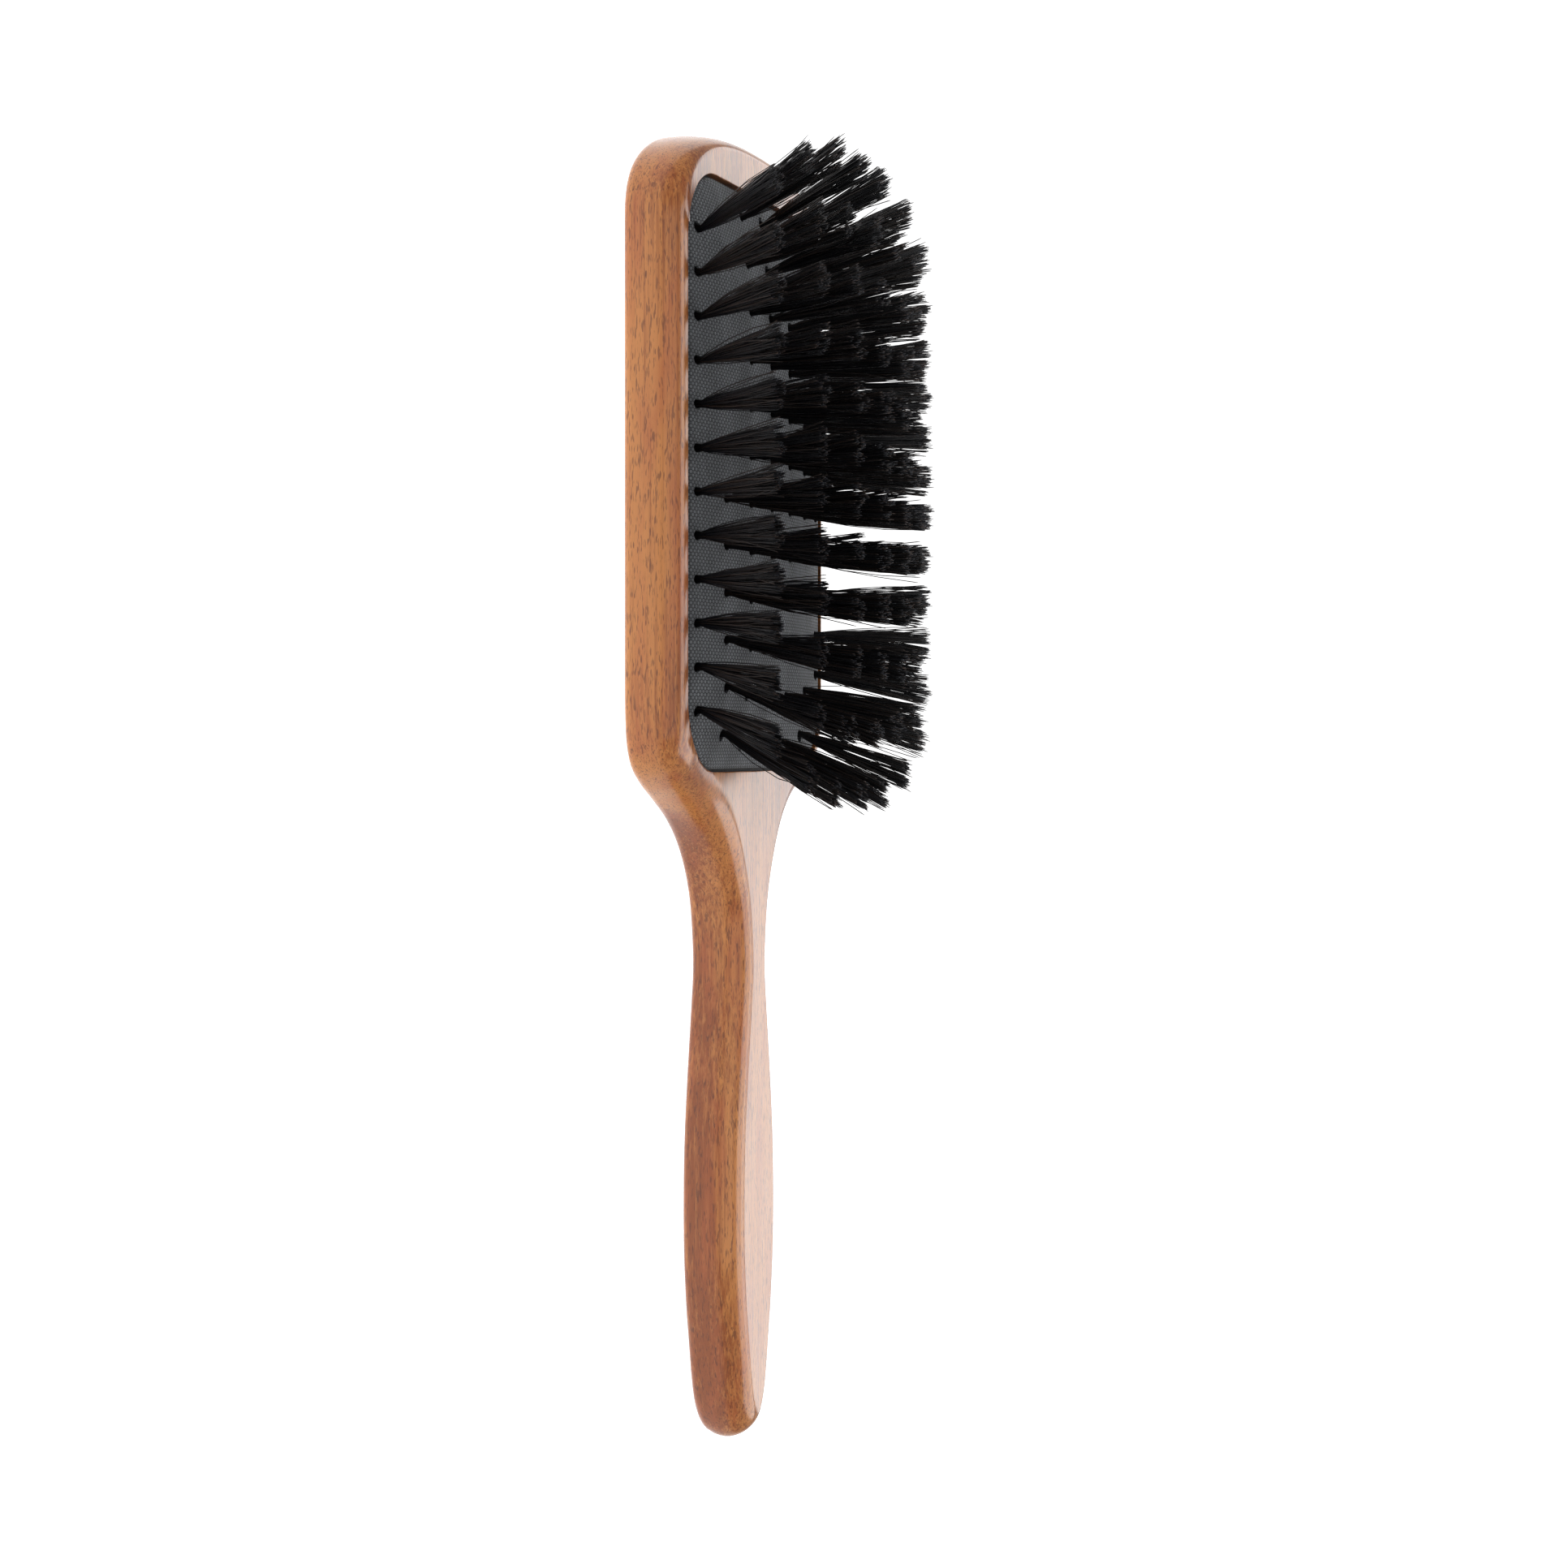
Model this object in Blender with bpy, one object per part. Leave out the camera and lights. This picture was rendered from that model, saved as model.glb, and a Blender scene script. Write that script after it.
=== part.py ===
"""Pneumatic paddle brush, lying on its flat back with the bristles up.

X runs across the paddle, +Y from the handle towards the head, +Z out of the bristle face.
The origin is on the flat back, under the middle of the cushion. Units are metres.
"""
import math

import bmesh
import bpy
from mathutils import Vector

MM = 0.001
GAP = 0.3 * MM                    # clearance between touching pieces

# Wooden body
BOARD = 12.0 * MM                 # board thickness
HEAD_HALF = 39.5 * MM             # half width of the paddle
HEAD_TOP = 66.0 * MM              # crown of the head
HEAD_CROWN = 20.0 * MM            # length of the rounded head end
HEAD_POWER = 2.45                 # superellipse power of the head end
BUTT_END = -187.2 * MM            # far end of the handle
BUTT_ROUND = 12.2 * MM            # length of the rounded butt
BUTT_HALF = 6.95 * MM             # half width where the butt starts to round
BUTT_POWER = 2.6                  # superellipse power of the butt
BUTT_TAPER = 0.33                 # the butt narrows by this share on its way to the tip
BUTT_ROLL = 4.5 * MM              # the tip is drawn in this far at the back and the front
BUTT_REACH = 17.0 * MM            # the drawing in starts this far from the tip
# Half width against station down the shoulder, neck and handle, in mm
SIDE_POINTS = (
    (39.5, -36.0), (39.5, -41.0), (39.3, -46.3), (38.6, -51.0), (36.5, -55.2), (32.2, -58.5),
    (26.5, -61.5), (20.3, -65.0), (15.0, -69.3), (11.0, -74.4), (8.3, -80.0), (6.9, -86.0),
    (6.2, -94.0), (7.1, -101.5), (9.15, -115.0), (10.6, -127.0), (11.1, -139.0), (10.85, -150.0),
    (9.75, -160.0), (8.85, -165.0), (7.9, -170.0),
)
SIDE_STEPS = 2                    # outline points for each stretch between two side points
ARC_STEPS = 8                     # outline points round half an end
# Height against inset of the worked edge, back to front, in mm
EDGE_PROFILE = (
    (0.0, 1.7), (0.5, 0.7), (1.8, 0.0), (6.0, 0.15), (9.4, 0.9), (11.2, 2.0), (12.0, 3.4),
)

# Pocket and groove milled into the paddle
PAD_HALF_W = 36.0 * MM
PAD_HALF_L = 55.5 * MM
PAD_CORNER = 13.0 * MM
CORNER_STEPS = 5
POCKET_FLOOR = 4.2 * MM
GROOVE_LOW = 8.3 * MM
GROOVE_HIGH = 10.2 * MM
GROOVE_DEPTH = 1.3 * MM

# Cushion: textile face on a rubber diaphragm
PAD_EDGE_Z = 11.6 * MM            # top of the face at its edge
PAD_RISE = 3.3 * MM               # height of the dome above its edge
DOME_POWER = 2.2
FACE_THICK = 0.5 * MM
RUBBER_THICK = 1.5 * MM
FACE_EDGE = 0.35 * MM             # the face stops this far inside the cushion's edge
SKIRT_EDGE = 0.15 * MM            # clearance round the rubber's skirt
HOLE_HALF = 1.3 * MM              # half the side of a tuft's square hole
GRID_MARGIN = 2.6 * MM            # sheet beyond the outermost tufts before the rim band

# Tufts
ROWS = 12
COLUMNS = 7
COLUMN_PITCH = 10.6 * MM
ROW_PITCH = 9.15 * MM             # along the middle column
OUTER_PITCH_LOSS = 1.1 * MM       # rows draw together at the outer columns
TUFT_SIDES = 5
NECK_RADIUS = 1.0 * MM
TIP_RADIUS = 3.1 * MM
TUFT_LENGTH = 23.6 * MM           # from the pad's surface to the tips
SIDE_FAN = math.radians(31.0)     # lean of the outer columns
END_FAN = math.radians(27.0)      # lean of the end rows
OUTER_FAN_LOSS = 0.42             # how much less the outer columns lean lengthwise
STRIP_HEIGHT = 1.0 * MM           # folded butts under the rubber
STRIP_HALF = 0.8 * MM
STRIP_END = 33.0 * MM             # reach of the folded butts to each side
WIRE_RADIUS = 0.3 * MM
WIRE_SIDES = 6

COLOURS = {
    "beech": ((0.46, 0.25, 0.13, 1.0), 0.35, 0.0),
    "textile": ((0.08, 0.085, 0.095, 1.0), 0.85, 0.0),
    "rubber": ((0.02, 0.02, 0.02, 1.0), 0.7, 0.0),
    "bristle": ((0.012, 0.011, 0.012, 1.0), 0.45, 0.0),
    "steel_wire": ((0.55, 0.55, 0.55, 1.0), 0.3, 1.0),
}


def clear_scene():
    for item in list(bpy.data.objects):
        bpy.data.objects.remove(item, do_unlink=True)


def finish_for(node, kind):
    colour, roughness, metallic = COLOURS[kind]
    material = bpy.data.materials.new(node + "_" + kind)
    material.use_nodes = True
    shader = material.node_tree.nodes["Principled BSDF"]
    shader.inputs["Base Color"].default_value = colour
    shader.inputs["Roughness"].default_value = roughness
    shader.inputs["Metallic"].default_value = metallic
    return material


def new_object(name, mesh, kind=None):
    item = bpy.data.objects.new(name, mesh)
    bpy.context.collection.objects.link(item)
    if kind:
        mesh.materials.append(finish_for(name, kind))
    return item


def add_ring_stack(bm, rings):
    """Bridge equal rings in order and cap both ends."""
    levels = []
    for ring in rings:
        levels.append([bm.verts.new(point) for point in ring])
    count = len(levels[0])
    for lower, upper in zip(levels, levels[1:]):
        for i in range(count):
            j = (i + 1) % count
            bm.faces.new((lower[i], lower[j], upper[j], upper[i]))
    bm.faces.new(list(reversed(levels[0])))
    bm.faces.new(levels[-1])


def mesh_from(name, stacks):
    mesh = bpy.data.meshes.new(name)
    bm = bmesh.new()
    for rings in stacks:
        add_ring_stack(bm, rings)
    bmesh.ops.recalc_face_normals(bm, faces=bm.faces)
    bmesh.ops.triangulate(bm, faces=bm.faces)
    bm.to_mesh(mesh)
    bm.free()
    return mesh


def smooth(item, angle):
    item.data.shade_smooth()
    item.data.set_sharp_from_angle(angle=math.radians(angle))


def add_boolean(item, tool, operation):
    tool.hide_render = True
    tool.display_type = "WIRE"
    cut = item.modifiers.new(operation.title(), "BOOLEAN")
    cut.operation = operation
    cut.solver = "EXACT"
    cut.object = tool


# Outlines


def spline_through(points, steps):
    """Catmull-Rom curve through every point but the first and last."""
    curve = []
    for a, b, c, d in zip(points, points[1:], points[2:], points[3:]):
        for k in range(steps):
            t = k / steps
            curve.append(0.5 * (2 * b + (c - a) * t + (2 * a - 5 * b + 4 * c - d) * t * t
                                + (3 * b - a - 3 * c + d) * t ** 3))
    return curve


def end_arc(half_width, base, length, power, taper=0.0):
    """Quarter of a superellipse from the centre line at base + length round to the side at base."""
    arc = []
    for k in range(ARC_STEPS):
        angle = math.pi / 2 * k / ARC_STEPS
        across = math.sin(angle) ** (2 / power) if k else 0.0
        along = math.cos(angle) ** (2 / power)
        arc.append(Vector((half_width * across * (1 - taper * along), base + length * along)))
    return arc


def body_outline():
    """The wooden body seen from the front, anticlockwise."""
    right = end_arc(HEAD_HALF, HEAD_TOP - HEAD_CROWN, HEAD_CROWN, HEAD_POWER)
    right.append(Vector((HEAD_HALF, HEAD_TOP - HEAD_CROWN)))
    guides = [Vector(point) * MM for point in SIDE_POINTS]
    guides += [Vector((BUTT_HALF, BUTT_END + BUTT_ROUND)), Vector((BUTT_HALF * 0.6, BUTT_END + 2 * MM))]
    right += spline_through(guides, SIDE_STEPS)
    butt = end_arc(BUTT_HALF, BUTT_END + BUTT_ROUND, -BUTT_ROUND, BUTT_POWER, BUTT_TAPER)
    right.append(Vector((BUTT_HALF, BUTT_END + BUTT_ROUND)))
    right += list(reversed(butt))
    left = [Vector((-point.x, point.y)) for point in reversed(right[1:-1])]
    return list(reversed(right + left))


def rolled_butt(points, height):
    """The outline with its butt drawn in, so that the tip is half round through the board."""
    off_middle = 2 * height / BOARD - 1
    draw = BUTT_ROLL * (1 - math.sqrt(max(0.0, 1 - off_middle ** 2)))
    rolled = []
    for point in points:
        into_butt = max(0.0, (BUTT_END + BUTT_REACH - point.y) / BUTT_REACH)
        rolled.append(Vector((point.x, point.y + draw * into_butt ** 2)))
    return rolled


def inset_outline(points, distance, height):
    """The closed outline moved inwards, as a ring at one height."""
    ring = []
    count = len(points)
    for i, point in enumerate(points):
        along = (points[(i + 1) % count] - points[i - 1]).normalized()
        inwards = Vector((-along.y, along.x))
        moved = point + inwards * distance
        ring.append((moved.x, moved.y, height))
    return ring


def pad_ring(inset, height_at):
    """Rounded rectangle of the cushion, drawn in by inset. height_at gives z at a point."""
    corner = max(PAD_CORNER - inset, 0.8 * MM)
    reach_x = PAD_HALF_W - inset - corner
    reach_y = PAD_HALF_L - inset - corner
    ring = []
    for quarter, (sx, sy) in enumerate(((1, 1), (-1, 1), (-1, -1), (1, -1))):
        for k in range(CORNER_STEPS + 1):
            angle = math.pi / 2 * (quarter + k / CORNER_STEPS)
            x = sx * reach_x + corner * math.cos(angle)
            y = sy * reach_y + corner * math.sin(angle)
            ring.append((x, y, height_at(x, y)))
    return ring


def level(height):
    return lambda x, y: height


def pad_depth(x, y):
    """How far a point lies inside the cushion's edge."""
    qx = abs(x) - (PAD_HALF_W - PAD_CORNER)
    qy = abs(y) - (PAD_HALF_L - PAD_CORNER)
    outside = math.hypot(max(qx, 0.0), max(qy, 0.0))
    return PAD_CORNER - outside - min(max(qx, qy), 0.0)


def face_top(x, y):
    """Height of the cushion's textile face."""
    towards_edge = max(0.0, 1.0 - pad_depth(x, y) / PAD_HALF_W)
    return PAD_EDGE_Z + PAD_RISE * (1.0 - towards_edge ** DOME_POWER)


def below_face(drop):
    return lambda x, y: face_top(x, y) - drop


# Tuft places


def row_y(row, x):
    """Where a row crosses station x. A half row is the line between two rows."""
    outer = abs(x) / (COLUMN_PITCH * (COLUMNS - 1) / 2)
    pitch = ROW_PITCH - OUTER_PITCH_LOSS * outer ** 3
    return (row - (ROWS - 1) / 2) * pitch


def tuft_root(row, column):
    x = (column - (COLUMNS - 1) / 2) * COLUMN_PITCH
    return x, row_y(row, x)


def tuft_direction(row, column):
    across = (column - (COLUMNS - 1) / 2) / ((COLUMNS - 1) / 2)
    along = (row - (ROWS - 1) / 2) / ((ROWS - 1) / 2)
    lean_x = SIDE_FAN * across
    lean_y = END_FAN * along * abs(along) ** 1.2 * (1.0 - OUTER_FAN_LOSS * abs(across) ** 3)
    return Vector((math.tan(lean_x), math.tan(lean_y), 1.0)).normalized()


def round_ring(centre, axis, radius, sides):
    """Polygon about an axis that points mostly upwards."""
    side = Vector((1.0, 0.0, 0.0))
    side = (side - axis * side.dot(axis)).normalized()
    other = axis.cross(side)
    ring = []
    for k in range(sides):
        angle = 2 * math.pi * (k + 0.5) / sides
        ring.append(centre + side * (radius * math.cos(angle)) + other * (radius * math.sin(angle)))
    return ring


# Pieces


def make_body():
    outline = body_outline()
    rings = []
    for height, inset in EDGE_PROFILE:
        rings.append(inset_outline(rolled_butt(outline, height * MM), inset * MM, height * MM))
    body = new_object("wooden_body", mesh_from("wooden_body", [rings]), "beech")
    pocket = (
        (-GAP, POCKET_FLOOR), (-GAP, GROOVE_LOW), (-GAP - GROOVE_DEPTH, GROOVE_LOW),
        (-GAP - GROOVE_DEPTH, GROOVE_HIGH), (-GAP, GROOVE_HIGH), (-GAP, BOARD + 2 * MM),
    )
    rings = [pad_ring(inset, level(height)) for inset, height in pocket]
    cutter = new_object("pocket_cutter", mesh_from("pocket_cutter", [rings]))
    add_boolean(body, cutter, "DIFFERENCE")
    smooth(body, 40)
    return body


def grid_line_x(line):
    """Lines between the columns, and just outside the outer two."""
    if line in (0, COLUMNS):
        side = 1 if line else -1
        return side * ((COLUMNS - 1) / 2 * COLUMN_PITCH + GRID_MARGIN)
    return (line - COLUMNS / 2) * COLUMN_PITCH


def grid_line_y(line, x):
    """Lines between the rows, and just outside the end two."""
    if line in (0, ROWS):
        row = ROWS - 1 if line else 0
        side = 1 if line else -1
        return row_y(row, x) + side * GRID_MARGIN
    return row_y(line - 0.5, x)


def add_perforated_skin(bm, height_at):
    """One face of a sheet: a cell round each square tuft hole. Gives its border and its holes."""
    grid = []
    for line in range(ROWS + 1):
        xs = [grid_line_x(column) for column in range(COLUMNS + 1)]
        spots = [(x, grid_line_y(line, x)) for x in xs]
        grid.append([bm.verts.new((x, y, height_at(x, y))) for x, y in spots])
    holes = []
    for row in range(ROWS):
        for column in range(COLUMNS):
            x, y = tuft_root(row, column)
            offsets = ((-1, -1), (1, -1), (1, 1), (-1, 1))
            spots = [(x + HOLE_HALF * sx, y + HOLE_HALF * sy) for sx, sy in offsets]
            hole = [bm.verts.new((hx, hy, height_at(hx, hy))) for hx, hy in spots]
            cell = (
                grid[row][column], grid[row][column + 1],
                grid[row + 1][column + 1], grid[row + 1][column],
            )
            for i in range(4):
                j = (i + 1) % 4
                bm.faces.new((cell[i], cell[j], hole[j], hole[i]))
            holes.append(hole)
    border = grid[0][:-1] + [line[-1] for line in grid[:-1]]
    border += list(reversed(grid[-1][1:])) + [line[0] for line in reversed(grid[1:])]
    return border, holes


def zip_loops(bm, inner, outer):
    """Join two loops of unlike counts by triangles, going round by angle."""
    def turn(vert):
        return math.atan2(vert.co.y, vert.co.x) % (2 * math.pi)

    inner = sorted(inner, key=turn)
    outer = sorted(outer, key=turn)
    i = j = 0
    while i < len(inner) or j < len(outer):
        a = inner[i % len(inner)]
        b = outer[j % len(outer)]
        next_a = turn(inner[i + 1]) if i < len(inner) - 1 else 7.0
        next_b = turn(outer[j + 1]) if j < len(outer) - 1 else 7.0
        if j == len(outer) or (i < len(inner) and next_a <= next_b):
            bm.faces.new((a, b, inner[(i + 1) % len(inner)]))
            i += 1
        else:
            bm.faces.new((a, b, outer[(j + 1) % len(outer)]))
            j += 1


def perforated_sheet(name, drop, thickness, edge, inner_edge, rim):
    """Domed sheet with a hole for each tuft, closed round its edge by the rim's rings."""
    bm = bmesh.new()
    top_border, top_holes = add_perforated_skin(bm, below_face(drop))
    low_border, low_holes = add_perforated_skin(bm, below_face(drop + thickness))
    for upper, lower in zip(top_holes, low_holes):
        for i in range(4):
            j = (i + 1) % 4
            bm.faces.new((upper[i], upper[j], lower[j], lower[i]))
    rings = [pad_ring(edge, below_face(drop))]
    rings += [pad_ring(inset, level(height)) for inset, height in rim]
    rings.append(pad_ring(inner_edge, below_face(drop + thickness)))
    levels = [[bm.verts.new(point) for point in ring] for ring in rings]
    for upper, lower in zip(levels, levels[1:]):
        for i in range(len(upper)):
            j = (i + 1) % len(upper)
            bm.faces.new((upper[i], upper[j], lower[j], lower[i]))
    zip_loops(bm, top_border, levels[0])
    zip_loops(bm, low_border, levels[-1])
    bmesh.ops.recalc_face_normals(bm, faces=bm.faces)
    bmesh.ops.triangulate(bm, faces=bm.faces)
    mesh = bpy.data.meshes.new(name)
    bm.to_mesh(mesh)
    bm.free()
    return mesh


def make_face():
    name = "cushion_fabric_face"
    mesh = perforated_sheet(name, 0.0, FACE_THICK, FACE_EDGE, FACE_EDGE, ())
    face = new_object(name, mesh, "textile")
    smooth(face, 30)


def make_rubber():
    name = "rubber_cushion"
    bead = GAP - GROOVE_DEPTH
    inner = SKIRT_EDGE + RUBBER_THICK
    rim = (
        (SKIRT_EDGE, GROOVE_HIGH - GAP), (bead, GROOVE_HIGH - GAP),
        (bead, GROOVE_LOW + GAP), (inner, GROOVE_LOW + GAP),
    )
    mesh = perforated_sheet(name, FACE_THICK + GAP, RUBBER_THICK, SKIRT_EDGE, inner, rim)
    rubber = new_object(name, mesh, "rubber")
    smooth(rubber, 30)


def tuft_stack(row, column):
    """One tuft: a straight neck up through its hole, then a fan that leans outwards."""
    x, y = tuft_root(row, column)
    surface = face_top(x, y)
    up = Vector((0.0, 0.0, 1.0))
    lean = tuft_direction(row, column)
    root = Vector((x, y, surface - strip_drop() - 0.5 * STRIP_HEIGHT))
    mouth = Vector((x, y, surface + 0.6 * MM))
    tip = mouth + lean * TUFT_LENGTH
    return [
        round_ring(root, up, NECK_RADIUS, TUFT_SIDES),
        round_ring(mouth, (up + lean).normalized(), NECK_RADIUS, TUFT_SIDES),
        round_ring(tip - lean * (1.5 * MM), lean, TIP_RADIUS, TUFT_SIDES),
        round_ring(tip, lean, 0.55 * TIP_RADIUS, TUFT_SIDES),
    ]


def strip_drop():
    """From the face's top down to the top of the folded butts."""
    return FACE_THICK + GAP + RUBBER_THICK + GAP


def row_stations(row, reach):
    """Points under one row, halfway between its tufts, and one at each end."""
    xs = [grid_line_x(line) for line in range(COLUMNS + 1)]
    xs[0] = -reach
    xs[-1] = reach
    points = []
    for x in xs:
        y = row_y(row, x)
        points.append(Vector((x, y, face_top(x, y) - strip_drop())))
    return points


def strip_rings(row):
    rings = []
    for point in row_stations(row, STRIP_END):
        corners = ((-STRIP_HALF, 0.0), (STRIP_HALF, 0.0), (STRIP_HALF, -STRIP_HEIGHT), (-STRIP_HALF, -STRIP_HEIGHT))
        rings.append([(point.x, point.y + across, point.z + up) for across, up in corners])
    return rings


def make_tuft_row(row, carrier):
    name = "tuft_row_%02d" % (row + 1)
    strip = new_object(name, mesh_from(name, [strip_rings(row)]), "bristle")
    stacks = [tuft_stack(row, column) for column in range(COLUMNS)]
    tufts = new_object(name + "_tool", mesh_from(name + "_tool", stacks))
    add_boolean(strip, tufts, "UNION")
    smooth(strip, 35)
    hold(strip, carrier)
    hold(tufts, carrier)


def make_draw_wire(row, carrier):
    name = "draw_wire_%02d" % (row + 1)
    axis = Vector((1.0, 0.0, 0.0))
    rings = []
    for point in row_stations(row, STRIP_END - GAP):
        centre = point - Vector((0.0, 0.0, STRIP_HEIGHT + GAP + WIRE_RADIUS))
        ring = []
        for k in range(WIRE_SIDES):
            angle = 2 * math.pi * k / WIRE_SIDES
            ring.append(centre + WIRE_RADIUS * Vector((0.0, math.cos(angle), math.sin(angle))))
        rings.append(ring)
    wire = new_object(name, mesh_from(name, [rings]), "steel_wire")
    smooth(wire, 60)
    hold(wire, carrier)


def make_carrier():
    """Empty on the axis along which the tufts sink into the cushion."""
    carrier = bpy.data.objects.new("tuft_carrier", None)
    bpy.context.collection.objects.link(carrier)
    carrier.location = (0.0, 0.0, PAD_EDGE_Z)
    return carrier


def hold(item, carrier):
    item.parent = carrier
    item.matrix_parent_inverse.translation = -carrier.location


def main():
    clear_scene()
    make_body()
    make_rubber()
    make_face()
    carrier = make_carrier()
    for row in range(ROWS):
        make_tuft_row(row, carrier)
        make_draw_wire(row, carrier)


main()
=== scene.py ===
import math

import bpy
import numpy as np
from mathutils import Matrix, Vector


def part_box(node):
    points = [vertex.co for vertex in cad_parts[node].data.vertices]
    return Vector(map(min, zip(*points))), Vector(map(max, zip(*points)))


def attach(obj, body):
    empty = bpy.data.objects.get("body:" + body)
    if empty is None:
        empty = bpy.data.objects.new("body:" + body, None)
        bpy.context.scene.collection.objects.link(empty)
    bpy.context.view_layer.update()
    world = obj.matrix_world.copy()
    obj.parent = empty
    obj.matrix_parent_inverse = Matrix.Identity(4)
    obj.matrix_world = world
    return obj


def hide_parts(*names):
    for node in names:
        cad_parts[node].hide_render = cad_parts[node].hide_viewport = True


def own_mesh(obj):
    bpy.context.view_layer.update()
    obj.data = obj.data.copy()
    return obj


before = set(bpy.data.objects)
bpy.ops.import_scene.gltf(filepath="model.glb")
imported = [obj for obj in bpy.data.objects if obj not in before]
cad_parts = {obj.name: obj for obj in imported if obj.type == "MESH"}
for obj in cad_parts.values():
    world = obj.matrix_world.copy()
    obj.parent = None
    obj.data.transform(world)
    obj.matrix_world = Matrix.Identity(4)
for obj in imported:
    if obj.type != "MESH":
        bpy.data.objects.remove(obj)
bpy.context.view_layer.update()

mm = 0.001
scene = bpy.context.scene


# small helpers

def deselectAll():
    if bpy.context.object and bpy.context.object.mode != "OBJECT":
        bpy.ops.object.mode_set(mode="OBJECT")
    bpy.ops.object.select_all(action="DESELECT")


def makeActive(piece):
    deselectAll()
    piece.select_set(True)
    bpy.context.view_layer.objects.active = piece


def namePiece(name):
    piece = bpy.context.object      # the primitive just added
    piece.name = name
    piece.data.name = name
    return piece


def settle(piece):
    makeActive(piece)
    bpy.ops.object.transform_apply(location=True, rotation=True, scale=True)


def applyModifiers(piece):
    makeActive(piece)
    for modifier in list(piece.modifiers):
        bpy.ops.object.modifier_apply(modifier=modifier.name)


def joinPieces(first, others):
    makeActive(first)
    for other in others:
        other.select_set(True)
    bpy.ops.object.join()
    return first


def selectWhere(piece, kind, wanted):
    # kind is FACE or EDGE; wanted says yes or no to each one
    makeActive(piece)
    bpy.ops.object.mode_set(mode="EDIT")
    bpy.ops.mesh.select_mode(type=kind)
    bpy.ops.mesh.select_all(action="DESELECT")
    bpy.ops.object.mode_set(mode="OBJECT")
    for part in piece.data.polygons if kind == "FACE" else piece.data.edges:
        part.select = wanted(part)
    bpy.ops.object.mode_set(mode="EDIT")


def getPoints(piece):
    points = np.empty(len(piece.data.vertices) * 3, np.float32)
    piece.data.vertices.foreach_get("co", points)
    return points.reshape(-1, 3).astype(float)


def setPoints(piece, points):
    piece.data.vertices.foreach_set("co", np.asarray(points, np.float32).ravel())
    piece.data.update()


def cutWith(piece, cutter):
    cut = piece.modifiers.new("cut", "BOOLEAN")
    cut.operation = "DIFFERENCE"
    cut.solver = "EXACT"
    cut.object = cutter
    applyModifiers(piece)
    bpy.data.objects.remove(cutter, do_unlink=True)


def smoothByAngle(piece, degrees):
    makeActive(piece)
    bpy.ops.object.shade_smooth_by_angle(angle=math.radians(degrees))


def dress(piece, material, slotName, body, *nodes):
    piece.data.materials.clear()
    piece.data.materials.append(material)
    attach(piece, body)
    if nodes:
        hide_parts(*nodes)


# camera and studio

cameraView = {
    "place": (-0.50099, -0.04975, 0.20151),
    "towards": (0.93838, -0.01609, -0.34524),
    "upright": (0.01490, 0.99987, -0.00610),      # the brush stands handle down
    "lens": 62.90,
    "sensor": 36.0,
}

studio = {
    "worldGlow": 0.33,
    "floorDrop": 0.34,          # the floor is this far below the brush
    "floorSize": 30.0,
    "floorGlow": 0.80,
    "floorTone": (0.82, 0.82, 0.82, 1.0),
    "white": (1.0, 1.0, 1.0, 1.0),
    # name: place, aim, width, height, power in watts
    "lights": {
        "backPanel": ((0.95, 0.02, 0.42), (0.0, -0.04, 0.01), 0.50, 1.30, 4.5),
        "topPanel": ((0.10, 0.00, 0.92), (0.0, -0.04, 0.01), 0.28, 1.15, 2.0),
        "glossPanel": ((0.00, -0.50, 0.92), (0.0, -0.50, 0.0), 1.70, 1.70, 34.0),
        "sideFill": ((-1.10, -0.10, 0.35), (0.0, -0.04, 0.01), 0.60, 0.90, 1.1),
    },
    "glossOnly": ("glossPanel",),      # seen in the lacquer, adds no light of its own
}


def turnTowards(place, aim, upright=(0, 1, 0)):
    forward = (Vector(aim) - Vector(place)).normalized()
    right = forward.cross(Vector(upright)).normalized()
    upward = right.cross(forward)
    return Matrix((right, upward, -forward)).transposed().to_euler()


def makeCamera():
    place = Vector(cameraView["place"])
    aim = place + Vector(cameraView["towards"])
    deselectAll()
    turn = turnTowards(place, aim, cameraView["upright"])
    bpy.ops.object.camera_add(location=place, rotation=turn)
    camera = bpy.context.object
    camera.data.lens = cameraView["lens"]
    camera.data.sensor_width = cameraView["sensor"]
    camera.data.clip_start = 0.01
    scene.camera = camera


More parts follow.
